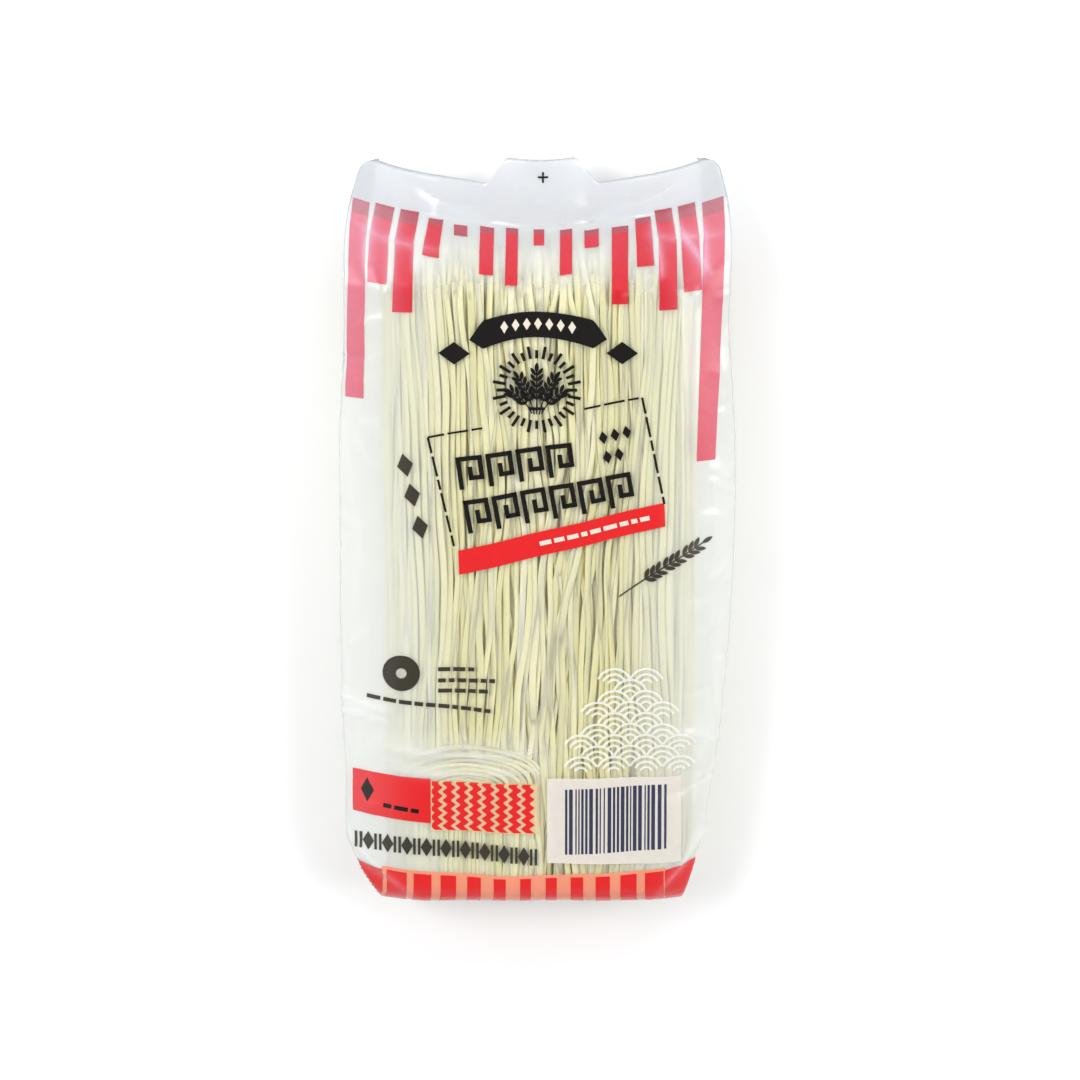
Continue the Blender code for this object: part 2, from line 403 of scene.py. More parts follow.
def film_relief(girth, along):
    """How far the film stands out of the smooth bag: nothing where it is sealed or lies on the surface."""
    rng = np.random.default_rng(41)
    relief = set_folds(girth, along)[0]
    for fold in (*shoulder_creases(rng), *margin_puckers(rng), *lengthwise_ripples(rng)):
        relief += crease(girth, along, *fold)
    relief = np.clip(relief, -0.8 * MM, 1.6 * MM)
    on_back = smooth((np.abs(girth) - FRONT_HALF - 2 * PLEAT_LEG) / 0.004) * (1.0 - shoulder_share(along))
    lifted = RESTING_SHARE * np.clip(relief, None, 0.0)
    relief = relief * (1.0 - on_back) + lifted * on_back
    return relief * smooth((HEADER_EDGE - along) / 0.004)


def film_rows():
    """The film coordinate of each row of the grid, close where the foot rounds."""
    angle = np.linspace(0.5 * np.pi, 0.0, FOOT_ROWS)[:-1]
    foot = FOOT_START - (FOOT_START - FOOT_Y) * np.sin(angle) ** (2.0 / FOOT_ROUNDNESS)
    body = np.linspace(FOOT_START, HEADER_EDGE, BODY_ROWS)
    return np.concatenate([foot, body])


def film_grid():
    """The film's grid: length of its rows, points, normals and how hazy it is."""
    rows = film_rows()
    girth, along = np.meshgrid(np.linspace(-GIRTH_HALF, GIRTH_HALF, FILM_COLUMNS + 1), rows)
    points = bag_points(girth, along)
    relief = film_relief(girth, along) * smooth((along - FOOT_Y) / 0.0008)
    points = points + grid_normals(points) * relief[..., None]
    middle = points[:, FILM_COLUMNS // 2]
    steps = np.linalg.norm(np.diff(middle[:FOOT_ROWS], axis=0), axis=1)
    length = rows.copy()
    length[: FOOT_ROWS - 1] = FOOT_START - np.cumsum(steps[::-1])[::-1]
    return length, points, grid_normals(points), film_haze(girth, along, relief)


def film_haze(girth, along, relief):
    """How white the film is: clear over the middle of the noodles, milky where it stands off them or lies
    double, with highlights painted white along its plain folds and on its puckers."""
    reach = np.abs(girth)
    side = np.where(girth < 0, *MARGIN_HAZE) * smooth((reach - 0.026) / 0.024)
    side *= 0.88 + 0.3 * smooth((0.05 - along) / 0.07)
    side += 0.15 * smooth((reach - 0.049) / 0.011)
    on_back = smooth((reach - FRONT_HALF) / 0.03)
    side = side * (1.0 - 0.65 * on_back)
    shoulder = SHOULDER_HAZE * smooth((along - 0.097) / 0.022)
    seal = SEAL_HAZE * np.exp(-(((along - 0.13) / 0.003) ** 2))
    # Whiter where the film is puckered: a highlight painted on the puckers
    pucker_highlight = PUCKER_HIGHLIGHT_PAINT * clamp(np.abs(relief) / (1.0 * MM)) * smooth((reach - 0.045) / 0.015)
    lower_left = LOWER_LEFT_HAZE * smooth((-0.069 - along) / 0.008) * smooth((along + 0.096) / 0.01)
    lower_left = lower_left * smooth((0.006 - girth) / 0.012) * smooth((girth + 0.085) / 0.01)
    white = 1.0 - (1.0 - side) * (1.0 - shoulder) * (1.0 - lower_left)
    back_seal = BACK_SEAL_HAZE * smooth((reach - GIRTH_HALF + 0.005) / 0.001)
    # set_folds' second value adds the highlights painted white along the plain folds
    return np.clip(0.01 + white + seal + pucker_highlight + back_seal + set_folds(girth, along)[1], 0.0, 0.85)


ROW_LENGTH, FILM_POINTS, FILM_NORMALS, FILM_HAZE = film_grid()


def on_film(girth, length):
    """Points of the film and their normals, read between the points of its grid."""
    column = np.clip((girth + GIRTH_HALF) / (2 * GIRTH_HALF) * FILM_COLUMNS, 0.0, FILM_COLUMNS - 1e-6)
    row = np.interp(length, ROW_LENGTH, np.arange(len(ROW_LENGTH)))
    row = np.clip(row, 0.0, len(ROW_LENGTH) - 1 - 1e-6)
    i, j = row.astype(int), column.astype(int)
    a, b = (row - i)[..., None], (column - j)[..., None]

    def read(grid):
        low = grid[i, j] * (1 - b) + grid[i, j + 1] * b
        high = grid[i + 1, j] * (1 - b) + grid[i + 1, j + 1] * b
        return low * (1 - a) + high * a

    return read(FILM_POINTS), unit(read(FILM_NORMALS))


def girth_at(x, length):
    """The girth at a distance across the front: past the fold it runs on into the side pleat."""
    fold = fold_distance(x, length)
    inside = FRONT_HALF * x / fold
    outside = np.sign(x) * (FRONT_HALF + np.abs(x) - fold)
    return np.where(np.abs(x) <= fold, inside, outside)


# Meshes


def add_values(mesh, name, values):
    """Gives a mesh a number for each point, which its material reads by name."""
    attribute = mesh.attributes.new(name, "FLOAT", "POINT")
    attribute.data.foreach_set("value", np.ascontiguousarray(values, np.float32).ravel())


def add_mesh(name, points, faces, values=None, value_name="tone"):
    """A mesh object from points and arrays of faces, one array for each number of corners."""
    mesh = bpy.data.meshes.new(name)
    mesh.vertices.add(len(points))
    mesh.vertices.foreach_set("co", np.asarray(points, np.float32).ravel())
    corners = np.concatenate([f.ravel() for f in faces]).astype(np.int32)
    counts = np.concatenate([np.full(len(f), f.shape[1]) for f in faces])
    mesh.loops.add(len(corners))
    mesh.loops.foreach_set("vertex_index", corners)
    mesh.polygons.add(len(counts))
    mesh.polygons.foreach_set("loop_start", (np.cumsum(counts) - counts).astype(np.int32))
    if values is not None:
        add_values(mesh, value_name, values)
    mesh.update(calc_edges=True)
    mesh.validate()
    mesh.shade_smooth()
    piece = bpy.data.objects.new(name, mesh)
    bpy.context.scene.collection.objects.link(piece)
    return piece


def grid_faces(rows, columns, first=0):
    """Quads of a grid of points."""
    i, j = np.meshgrid(np.arange(rows - 1), np.arange(columns - 1), indexing="ij")
    corner = (first + i * columns + j).ravel()
    return np.stack([corner, corner + 1, corner + columns + 1, corner + columns], axis=1)


def wrapped_faces(rows, columns):
    """Quads of a grid of points whose last column meets its first."""
    i, j = np.meshgrid(np.arange(rows - 1) * columns, np.arange(columns), indexing="ij")
    after = (j + 1) % columns
    return np.stack([i + j, i + after, i + columns + after, i + columns + j], axis=-1).reshape(-1, 4)


def add_grids(name, grids, lift):
    """One mesh of open grids of film points, normals and wash, lifted off the film by a height."""
    points, washes_and_highlights, faces, first = [], [], [], 0
    for grid in grids:
        raised = grid[..., :3] + grid[..., 3:6] * lift
        points.append(raised.reshape(-1, 3))
        washes_and_highlights.append(grid[..., 6].ravel())
        faces.append(grid_faces(grid.shape[0], grid.shape[1], first))
        first += grid.shape[0] * grid.shape[1]
    return add_mesh(name, np.vstack(points), [np.vstack(faces)], np.concatenate(washes_and_highlights), "wash_and_highlight")


def weld(piece, distance=1e-6):
    """Joins points that coincide, which closes seams."""
    work = bmesh.new()
    work.from_mesh(piece.data)
    bmesh.ops.remove_doubles(work, verts=work.verts, dist=distance)
    work.to_mesh(piece.data)
    work.free()


def finish_piece(piece, material, slot):
    """Gives a piece its material, and lets it ride on the bag. The slot is not used."""
    piece.data.materials.append(material)
    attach(piece, "root")
    return piece


def make_film(material):
    """The film: one closed sheet, sealed shut at both ends. In the header its white is painted greyer and
    bluish: painted shade."""
    points, haze = FILM_POINTS[:, :-1], FILM_HAZE[:, :-1]
    faces = wrapped_faces(*haze.shape)
    piece = add_mesh("film_bag", points.reshape(-1, 3), [faces], haze, "haze")
    header_shade = smooth((ROW_LENGTH - HEADER_SHADE_START) / HEADER_SHADE_LENGTH)[:, None]
    add_values(piece.data, "header_shade", np.broadcast_to(header_shade, haze.shape))
    weld(piece)
    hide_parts("bag")
    return finish_piece(piece, material, "film")


# Print: flat shapes in millimetres on the bag's front, laid on the film's outer face


def steps_for(length, step=1.1):
    """How many points a stretch needs."""
    return max(2, int(np.ceil(length / step)) + 1)


def ink_wash_and_highlight(girth, length):
    """How far the ink is whitened: on slack film at the sides, on the shoulder, and along folds, where the
    white is a painted highlight that also stands for ink cracked on the crease."""
    reach = np.abs(girth)
    side = smooth((reach - 0.042) / 0.032) * np.where(girth < 0, 0.27, 0.2)
    upper = (0.25 + 0.75 * smooth((length + 0.03) / 0.08)) * smooth((length + 0.126) / 0.012)
    shoulder = 0.04 * smooth((length - 0.1) / 0.025)
    # The folds' painted highlights whiten the ink as well
    return np.clip(0.01 + side * upper + shoulder + 1.1 * set_folds(girth, length)[1], 0.0, 0.8)


def lattice(across, up):
    """Two parameters over a grid, each from its first value to its last in a number of steps."""
    return np.meshgrid(np.linspace(*across), np.linspace(*up))


def laid(x, length):
    """Artwork in millimetres laid on the film: points, normals and wash."""
    length = length * MM
    girth = girth_at(x * MM, length)
    points, normals = on_film(girth, length)
    return np.concatenate([points, normals, ink_wash_and_highlight(girth, length)[..., None]], axis=-1)


def laid_flat(flat):
    """The same, from places with two coordinates."""
    return laid(flat[..., 0], flat[..., 1])


def quad(corners):
    """A four-sided field: lower left, lower right, upper right and upper left corner."""
    a, b, c, d = (np.array(p) for p in corners)
    wide = steps_for(max(np.linalg.norm(b - a), np.linalg.norm(c - d)))
    tall = steps_for(max(np.linalg.norm(d - a), np.linalg.norm(c - b)))
    s, t = lattice((0, 1, wide), (0, 1, tall))
    s, t = s[..., None], t[..., None]
    return laid_flat((a * (1 - s) + b * s) * (1 - t) + (d * (1 - s) + c * s) * t)


def bar(x0, x1, low, high):
    """An upright rectangle."""
    return quad(((x0, low), (x1, low), (x1, high), (x0, high)))


def turned(points, centre, angle):
    """Points turned about the origin and moved to a centre."""
    points = np.asarray(points, float)
    c, s = np.cos(angle), np.sin(angle)
    x = points[..., 0] * c - points[..., 1] * s + centre[0]
    y = points[..., 0] * s + points[..., 1] * c + centre[1]
    return np.stack([x, y], axis=-1)


def ribbon(path, width):
    """A stroke along a path: two edges at half the width on its normal."""
    path = np.asarray(path, float)
    tangent = unit(np.gradient(path, axis=0))
    normal = np.stack([-tangent[:, 1], tangent[:, 0]], axis=1)
    half = (np.broadcast_to(width, len(path)) / 2)[:, None]
    across = np.linspace(-1.0, 1.0, 3)[:, None, None]
    return laid_flat(path + normal * half * across)


def strokes(corners, width):
    """Straight strokes from corner to corner, each half a width past its ends."""
    made = []
    for start, end in zip(corners[:-1], corners[1:]):
        start, end = np.array(start), np.array(end)
        way = (end - start) / np.linalg.norm(end - start)
        start, end = start - way * width / 2, end + way * width / 2
        count = steps_for(np.linalg.norm(end - start))
        made.append(ribbon(start + (end - start) * np.linspace(0, 1, count)[:, None], width))
    return made


def ring(centre, inner, outer, start=0.0, end=TAU):
    """A disc, a ring or part of one: radius and angle are its two parameters."""
    turns = steps_for(outer * (end - start), 0.8)
    across = steps_for(outer - inner)
    angle, radius = lattice((end, start, turns), (inner, outer, across))
    return laid(centre[0] + radius * np.cos(angle), centre[1] + radius * np.sin(angle))


def lozenge(centre, width, height, angle=0.0):
    """A diamond standing on its point."""
    flat = [(0, -height / 2), (width / 2, 0), (0, height / 2), (-width / 2, 0)]
    return quad(turned(flat, centre, angle))


def grain(centre, length, width, angle):
    """A pointed oval, like a grain in its husk: its half width follows a sine."""
    s, t = lattice((-1, 1, 4), (0, 1, steps_for(length, 0.6)))
    flat = np.stack([-s * width / 2 * np.sin(np.pi * t) ** 0.8, (t - 0.5) * length], axis=-1)
    return laid_flat(turned(flat[:, ::-1], centre, angle))


# Artwork sizes, in millimetres

# Hanging bars: top, lower end, width at the top and at the end, and how far right of the
# centre line they lie at the top, at the fold and at the end
TOP_BARS = (
    (128.9, 56.5, 6.2, 6.9, -65.4, -66.5, -67.9),
    (129.6, 102.2, 7.0, 7.0, -56.5, -58.6, -59.3),
    (129.6, 91.0, 6.8, 7.4, -47.3, -49.3, -50.0),
    (128.0, 115.2, 5.4, 6.2, -37.6, -39.2, -39.6),
    (126.8, 123.2, 5.0, 5.0, -28.5, -28.5, -28.5),
    (127.4, 110.3, 5.2, 5.2, -18.6, -18.8, -18.9),
    (127.9, 105.6, 4.5, 4.5, -9.3, -9.4, -9.5),
    (127.9, 122.6, 3.9, 3.9, 0.7, 0.7, 0.7),
    (127.6, 110.6, 4.5, 4.5, 10.8, 10.8, 10.7),
    (126.8, 121.0, 5.4, 5.4, 20.3, 20.3, 20.3),
    (126.6, 95.2, 6.1, 6.1, 30.9, 30.8, 30.7),
    (128.4, 111.4, 5.8, 6.6, 39.4, 40.1, 40.4),
    (130.4, 92.1, 6.3, 6.8, 46.9, 48.6, 48.6),
    (130.3, 99.1, 6.4, 6.8, 55.5, 56.9, 57.9),
    (129.2, 33.0, 8.0, 7.0, 65.4, 65.9, 62.9),
)
BAR_FOLD = 119.5
BAR_TOP_DEPTH = 2.0
OUTER_BAR_TOP_DEPTH = 4.6
OUTER_BARS = 45.0
SHORT_BAR = 4.0
FOOT_PITCH = 9.76
FOOT_BAR_WIDTH = 4.0
FOOT_BAR_GROWTH = 3.4
FOOT_OFFSET = -4.4
FOOT_LINE = (
    (-70.0, -125.6), (-58.9, -127.9), (-44.0, -128.8), (-15.0, -130.9),
    (5.0, -130.6), (30.0, -129.6), (48.0, -128.2), (62.0, -124.6),
)
FOOT_PRINT_END = -156.5
LABEL_CORNERS = ((-40.7, 42.7), (39.1, 58.0), (47.5, 17.3), (-30.5, -1.5))
LABEL_TILT = np.radians(10.7)
EMBLEM_CENTRE = (-0.1, 61.0)
PRINT_HEIGHT = 0.3


def bar_part(sizes, low, high):
    """Part of a hanging bar: its centre line leans in above the fold, and its width changes evenly."""
    top, end, top_width, end_width, top_x, fold_x, end_x = sizes
    across = np.linspace(-0.5, 0.5, steps_for(max(top_width, end_width)))
    s, v = np.meshgrid(across, np.linspace(low, high, steps_for(high - low)))
    fold = max(BAR_FOLD, end + 0.5)
    centre = np.interp(v, (end, fold, top), (end_x, fold_x, top_x))
    width = end_width + (top_width - end_width) * (v - end) / (top - end)
    return laid(centre + s * width, v)


def top_bars():
    """Hanging bars of unlike length from one line below the header, and their duller upper ends, where the
    seal runs over them."""
    made, tops = [], []
    for sizes in TOP_BARS:
        top, end = sizes[:2]
        dull = OUTER_BAR_TOP_DEPTH if abs(sizes[4]) > OUTER_BARS else BAR_TOP_DEPTH
        if top - end < SHORT_BAR:
            dull = top - end
        tops.append(bar_part(sizes, top - dull, top))
        if top - end > dull:
            made.append(bar_part(sizes, end, top - dull))
    return made, tops


def foot_line(x):
    """The upper edge of the foot's band, which sags in the middle."""
    places, heights = np.array(FOOT_LINE).T
    return np.interp(x, places, heights)


def foot_field(x0, x1, rise=0.0):
    """A field of the foot's band, from its upper edge down round the foot."""
    s, t = lattice((0, 1, steps_for(x1 - x0)), (0, 1, 30))
    x = x0 + (x1 - x0) * s
    return laid(x, FOOT_PRINT_END + (foot_line(x) + rise - FOOT_PRINT_END) * t)


def foot_band():
    """Upright bars round the foot, wider to both sides, closing to solid colour at both corners."""
    made = []
    for k in range(-5, 6):
        centre = k * FOOT_PITCH + FOOT_OFFSET
        width = FOOT_BAR_WIDTH + FOOT_BAR_GROWTH * (abs(centre + 1.0) / 50.0) ** 1.4
        made.append(foot_field(centre - width / 2, centre + width / 2))
    return made + [foot_field(-70.0, -58.6), foot_field(48.4, 61.0)]


def zigzag_field(x0, x1, low, high, fall):
    """Upright stripes whose edges shift as a triangle wave of the height. The field falls to its right."""
    pitch, stripe, swing, period = 4.8, 3.2, 1.1, 3.4
    made = []
    count = int(round((x1 - x0) / pitch))
    for k in range(count):
        left = x0 + (x1 - x0) * k / count
        s, v = lattice((0, 1, 4), (low, high, int((high - low) / period * 6) + 1))
        shift = swing * (np.abs(((v - low) / period) % 1.0 * 2.0 - 1.0) * 2.0 - 1.0)
        x = np.clip(left + s * stripe + shift, x0, x1)
        made.append(laid(x, v - fall * (x - x0) / (x1 - x0)))
    return made


def fret_row(start, end, count, height, stroke):
    """A traditional key fret along a line: square hooks in a row."""
    hook = ((0.02, 0.0), (0.02, 1.0), (0.74, 1.0), (0.74, 0.3), (0.38, 0.3), (0.38, 0.62))
    way = np.array(end) - np.array(start)
    pitch = np.hypot(*way) / count
    angle = np.arctan2(way[1], way[0])
    tall = height - stroke
    made = []
    for k in range(count):
        points = [((k + a) * pitch, (b - 0.5) * tall) for a, b in hook]
        made += strokes([tuple(p) for p in turned(points, start, angle)], stroke)
    return made


def marks(start, end, width, spans, shortest=0.0):
    """Short strokes along a line, with lengths and gaps in turn: the last is cut off at the line's end."""
    start, end = np.array(start), np.array(end)
    length = np.hypot(*(end - start))
    way = (end - start) / length
    made, at = [], 0.0
    while at < length:
        span, gap = next(spans)
        span = min(span, length - at)
        if span > shortest:
            steps = np.linspace(0, 1, steps_for(span))[:, None]
            made.append(ribbon(start + way * (at + span * steps), width))
        at += span + gap
    return made


def dashed(start, end, width):
    """A dashed line, drawn as by hand: dashes and gaps of slightly unlike length."""
    spans = ((6.2 + 2.2 * np.sin(2.3 * k), 1.3 + 0.5 * np.sin(3.1 * k)) for k in itertools.count())
    return marks(start, end, width, spans, 1.5)


def label_frame():
    """A thin tilted outline in dashes, open under the emblem."""
    upper_left, upper_right, lower_right, lower_left = LABEL_CORNERS
    made = dashed(upper_left, (-18.5, 46.9), 0.8) + dashed((17.5, 53.8), upper_right, 0.8)
    return made + dashed(upper_right, lower_right, 0.9) + dashed(upper_left, lower_left, 0.9)


def label_marks():
    """Small lozenges at the label's upper right."""
    rows = ((24.6, 42.7, 3), (26.2, 35.2, 2))
    return [lozenge((x + 4.4 * k, v + k), 3.4, 5.2, LABEL_TILT) for x, v, count in rows for k in range(count)]


def plaque():
    """A gently arched plaque with pointed ends, and a broad lozenge beyond each."""
    centre, half, tall, point, rise = (0.4, 80.0), 25.5, 11.4, 5.0, 6.6
    s, t = lattice((-1, 1, 58), (-1, 1, 10))
    taper = np.clip((1.0 - np.abs(s)) * half / point, 0.02, 1.0)
    x = centre[0] + s * half
    made = [laid(x, centre[1] + rise * (1.0 - s * s) + t * taper * tall / 2)]
    for side in (-1, 1):
        made.append(lozenge((centre[0] + side * 31.2, 74.8), 11.8, 8.6))
    return made


def rice_ear(foot, turn, lean, length, pairs, size=1.0):
    """An ear of rice: a stalk that sets out at an angle and bends by the lean, with pairs of grains and
    one at its tip."""
    t = np.linspace(0, 1, 48)
    bend = turn + lean * t**1.4
    step = length / len(t)
    path = np.stack([foot[0] + np.cumsum(np.sin(bend)) * step, foot[1] + np.cumsum(np.cos(bend)) * step], 1)
    made = [ribbon(path, 0.6 * size)]
    for k in range(pairs):
        index = int((0.3 + 0.64 * k / pairs) * (len(t) - 1))
        for side in (-1, 1):
            angle = -bend[index] - side * 0.62
            place = path[index] + 2.6 * size * np.array([-np.sin(angle), np.cos(angle)])
            made.append(grain(place, 4.4 * size, 1.7 * size, angle))
    made.append(grain(path[-1], 4.6 * size, 1.8 * size, -bend[-1]))
    return made


def emblem():
    """A tied sheaf of five rice ears in a ring of short rays."""
    foot = (EMBLEM_CENTRE[0], EMBLEM_CENTRE[1] - 9.8)
    made = rice_ear(foot, 0.0, 0.0, 18.2, 5, 0.86)
    for side in (-1, 1):
        made += rice_ear((foot[0] + side * 0.8, foot[1]), side * 0.25, side * 0.4, 17.0, 5, 0.86)
        made += rice_ear((foot[0] + side * 1.6, foot[1] + 0.4), side * 0.5, side * 0.75, 13.8, 4, 0.86)
    made.append(bar(foot[0] - 3.0, foot[0] + 3.0, foot[1] + 1.9, foot[1] + 3.1))
    rays = 32
    for k in range(rays):
        way = np.array([np.sin(TAU * k / rays), np.cos(TAU * k / rays)])
        outer = 16.0 if k % 2 else 14.4
        made += strokes([tuple(EMBLEM_CENTRE + way * 12.4), tuple(EMBLEM_CENTRE + way * outer)], 1.2)
    return made


def word_marks(start, end, height, rng):
    """A line of small print as plain bars of random length, which spell nothing."""
    return marks(start, end, height, ((rng.uniform(2.0, 5.2), 1.1) for _ in itertools.count()))


def light_marks():
    """Small light marks on the plaque and on the label's band."""
    rng = np.random.default_rng(21)
    made = [lozenge((0.4 + 4.2 * k, 86.6 - 0.16 * k * k), 2.9, 5.4) for k in range(-3, 4)]
    return made + word_marks((1.0, 1.8), (42.0, 11.9), 1.7, rng)


def grey_marks():
    """Small grey marks: lozenges, a ring, and lines of small bars."""
    rng = np.random.default_rng(5)
    places = ((-49.2, 32.2), (-46.6, 20.7), (-43.7, 8.3))
    made = [lozenge(place, 6.0, 9.2, np.radians(12.0)) for place in places]
    made.append(ring((-51.0, -48.7), 2.0, 7.0))
    for x0, v0, x1, v1 in (
        (-37.2, -47.2, -23.5, -47.2),
        (-37.2, -51.6, -15.1, -51.6),
        (-37.2, -55.6, -17.5, -55.8),
        (-64.0, -58.6, -17.5, -63.6),
    ):
        made += word_marks((x0, v0), (x1, v1), 1.6, rng)
    return made


def running_line():
    """Lozenges between pairs of upright strokes, over the foot's band and sloping down to the right."""
    made = []
    count = 19
    for k in range(count):
        share = k / (count - 1)
        x, v = -67.6 + 66.2 * share, -116.7 - 5.4 * share**1.6
        if k % 2:
            made.append(lozenge((x, v), 4.4, 7.6))
        else:
            made.append(bar(x - 1.4, x - 0.4, v - 3.3, v + 3.3))
            made.append(bar(x + 0.4, x + 1.4, v - 3.3, v + 3.3))
    return made


def barcode_bars():
    """Upright bars of random width and spacing, rising a little to the right."""
    rng = np.random.default_rng(12)
    made = []
    x = 10.6
    while x < 48.2:
        width = rng.choice([0.5, 0.9, 1.4])
        rise = 2.1 * (x - 10.6) / 38.0
        made.append(bar(x, x + width, -121.1 + rise, -94.9 + rise))
        x += width + rng.choice([0.6, 0.6, 1.0])
    return made


ARC = np.radians((25, 155))


def scale_waves():
    """Rows of overlapping arcs in white line, as on old cloth, heaped up in the middle."""
    made = []
    radius, line = 7.0, 0.85
    for row, count in enumerate((4, 3, 4, 3, 2, 3, 2, 1, 2)):
        for column in range(count):
            x = 35.0 + (column - (count - 1) / 2) * 2 * radius * 0.88
            y = -88.4 + row * radius * 0.62
            for share in (1.0, 0.7, 0.4):
                outer = radius * share
                made.append(ring((x, y), outer - line, outer, *ARC))
    return made


def register_mark():
    """The small cross on the hang tab, drawn short because the tab's film is drawn out."""
    x, v, half, line, stretch = 2.2, 139.2, 1.9, 0.7, 1.75
    arms = ((half, line / 2 / stretch), (line / 2, half / stretch))
    return [bar(x - wide, x + wide, v - tall, v + tall) for wide, tall in arms]


def make_print():
    """All the print, one piece for each ink."""
    panel = quad(((-69.6, -105.2), (-40.2, -108.3), (-40.2, -90.4), (-69.5, -88.4)))
    bars, bar_tops = top_bars()
    band = quad(((-29.1, -10.3), (47.9, 8.6), (47.5, 17.8), (-29.4, -0.9)))
    red = [band, panel] + zigzag_field(-39.8, -0.2, -110.9, -91.4, 1.6) + foot_band()
    black = label_frame() + label_marks() + plaque() + emblem() + register_mark()
    black += [lozenge((-64.0, -96.2), 5.0, 9.6)]
    black += word_marks((-58.0, -101.6), (-44.5, -103.6), 1.7, np.random.default_rng(8))
    black += fret_row((-29.0, 28.9), (15.6, 35.1), 4, 12.6, 1.8)
    black += fret_row((-26.0, 12.2), (37.7, 23.6), 6, 12.8, 1.8)
    underlay = [quad(((-40.2, -111.2), (0.1, -112.8), (0.1, -92.9), (-40.2, -91.2)))]
    code_field = [quad(((3.8, -124.6), (54.5, -125.0), (54.3, -89.7), (3.8, -90.6)))]
    sprig = rice_ear((30.0, -19.3), np.radians(54.0), np.radians(8.0), 40.0, 9)
    pieces = (
        ("print_peach_ground", [foot_field(-58.8, 48.6, 1.2)], "peach tint", "white_print", -0.12),
        ("print_cream_underlay", underlay, "cream ink", "white_print", -0.1),
        ("print_red_bars", bars, "thin red ink", "red_print", 0.0),
        ("print_red_bar_tops", bar_tops, "dull red ink", "red_print", 0.0),
        ("print_red_fields", red, "backed red ink", "red_print", 0.0),
        ("print_white_field", code_field, "white ink", "white_print", 0.0),
        ("print_code_bars", barcode_bars(), "blue black ink", "black_print", 0.05),
        ("print_white_waves", scale_waves(), "white line ink", "white_print", 0.0),
        ("print_black", black, "black ink", "black_print", 0.09),
        ("print_light_marks", light_marks(), "light mark ink", "white_print", 0.15),
        ("print_grey", grey_marks() + running_line() + sprig, "grey ink", "black_print", 0.0),
    )
    for name, grids, ink, slot, lift in pieces:
        finish_piece(add_grids(name, grids, (PRINT_HEIGHT + lift) * MM), ink_material(ink, *INKS[ink]), slot)


# Noodles


def film_over(x, y, height):
    """Height of the front or back film over a place, found by stepping back along the film."""
    along = y
    for _ in range(4):
        across = np.clip(x / fold_distance(x, along), -1.0, 1.0)
        along = y + shoulder_lag(across, along)
    return height(across, x, along)


def between_films(x, y, from_front, from_back):
    """The highest and the lowest place over the surface that keep given distances from both films."""
    return film_over(x, y, front_height) - from_front, film_over(x, y, back_height) + from_back


def bundle_half(side, y):
    """Half the width of the noodles, less where the foot draws in."""
    return np.minimum(np.where(side < 0, *BUNDLE_SIDES), fold_distance(side, y) - SIDE_CLEARANCE)


def bundle_points(lateral, way, depth):
    """Places in the bundle: lateral from -1 to 1, way down the front, round the foot and back up behind,
    and depth inside the outermost noodles."""
    past = clamp((FOOT_START - way) / FOOT_ARC)
    behind = np.clip(FOOT_START - FOOT_ARC - way, 0.0, None)
    leg_y = np.maximum(way, FOOT_START) + behind
    turn = np.pi * past
    out = signed_power(np.sin(turn), 2.0 / FOOT_ROUNDNESS)
    share = signed_power(np.cos(turn), 2.0 / FOOT_ROUNDNESS)
    y = leg_y - np.clip(FOOT_START - FOOT_Y - NOODLE_CLEARANCE - depth, 0.0005, None) * out
    x = lateral * bundle_half(lateral, y)
    edge = EDGE_ROUNDING * clamp((np.abs(lateral) - 0.8) / 0.2) ** 2
    slope = SHOULDER_CLEARANCE * smooth((leg_y - 0.088) / 0.014)
    inset = depth + edge
    high, low = between_films(x, leg_y, NOODLE_CLEARANCE + inset + slope, 0.9 * NOODLE_CLEARANCE + inset)
    high = np.maximum(high, low + 0.001)
    z = np.where(share > 0, FOOT_MIDDLE_HEIGHT + (high - FOOT_MIDDLE_HEIGHT) * share, FOOT_MIDDLE_HEIGHT)
    z = np.where(share <= 0, FOOT_MIDDLE_HEIGHT + (FOOT_MIDDLE_HEIGHT - low) * share, z)
    return np.stack([x, y, z], axis=-1)


def strand_mesh(name, material, centre, facing, width, thickness, roll, tone):
    """Noodles as one mesh: a closed bar along each centre line. Its section is a superellipse, cosine and
    sine of the angle raised to a power."""
    tangent = unit(np.gradient(centre, axis=1))
    across = unit(np.cross(facing, tangent))
    up = np.cross(tangent, across)
    c, s = np.cos(roll)[..., None], np.sin(roll)[..., None]
    across, up = across * c + up * s, up * c - across * s
    angle = TAU * (np.arange(STRAND_SIDES) + 0.5) / STRAND_SIDES
    wide = signed_power(np.cos(angle), STRAND_SQUARENESS)[:, None] * (width / 2)[:, None, None, None]
    thick = signed_power(np.sin(angle), STRAND_SQUARENESS)[:, None] * (thickness / 2)[:, None, None, None]
    points = centre[:, :, None] + across[:, :, None] * wide + up[:, :, None] * thick
    count, length, sides = points.shape[:3]
    first = (np.arange(count) * length * sides)[:, None]
    quads = (first[..., None] + wrapped_faces(length, sides)).reshape(-1, 4)
    start_cap = first + np.arange(sides)[::-1]
    end_cap = first + (length - 1) * sides + np.arange(sides)
    tones = np.broadcast_to(tone[:, None, None], (count, length, sides))
    piece = add_mesh(name, points.reshape(-1, 3), [quads, start_cap, end_cap], tones)
    return finish_piece(piece, material, "noodles")


def phases(rng, count):
    """A random phase for each noodle."""
    return rng.uniform(0, TAU, (count, 1))


def in_bundle(side, way, inside):
    """Centre lines in the bundle, and the direction that each place faces: outwards."""
    inner, outer = bundle_points(side, way, inside + 0.0003), bundle_points(side, way, inside - 0.0003)
    return bundle_points(side, way, inside), unit(outer - inner)


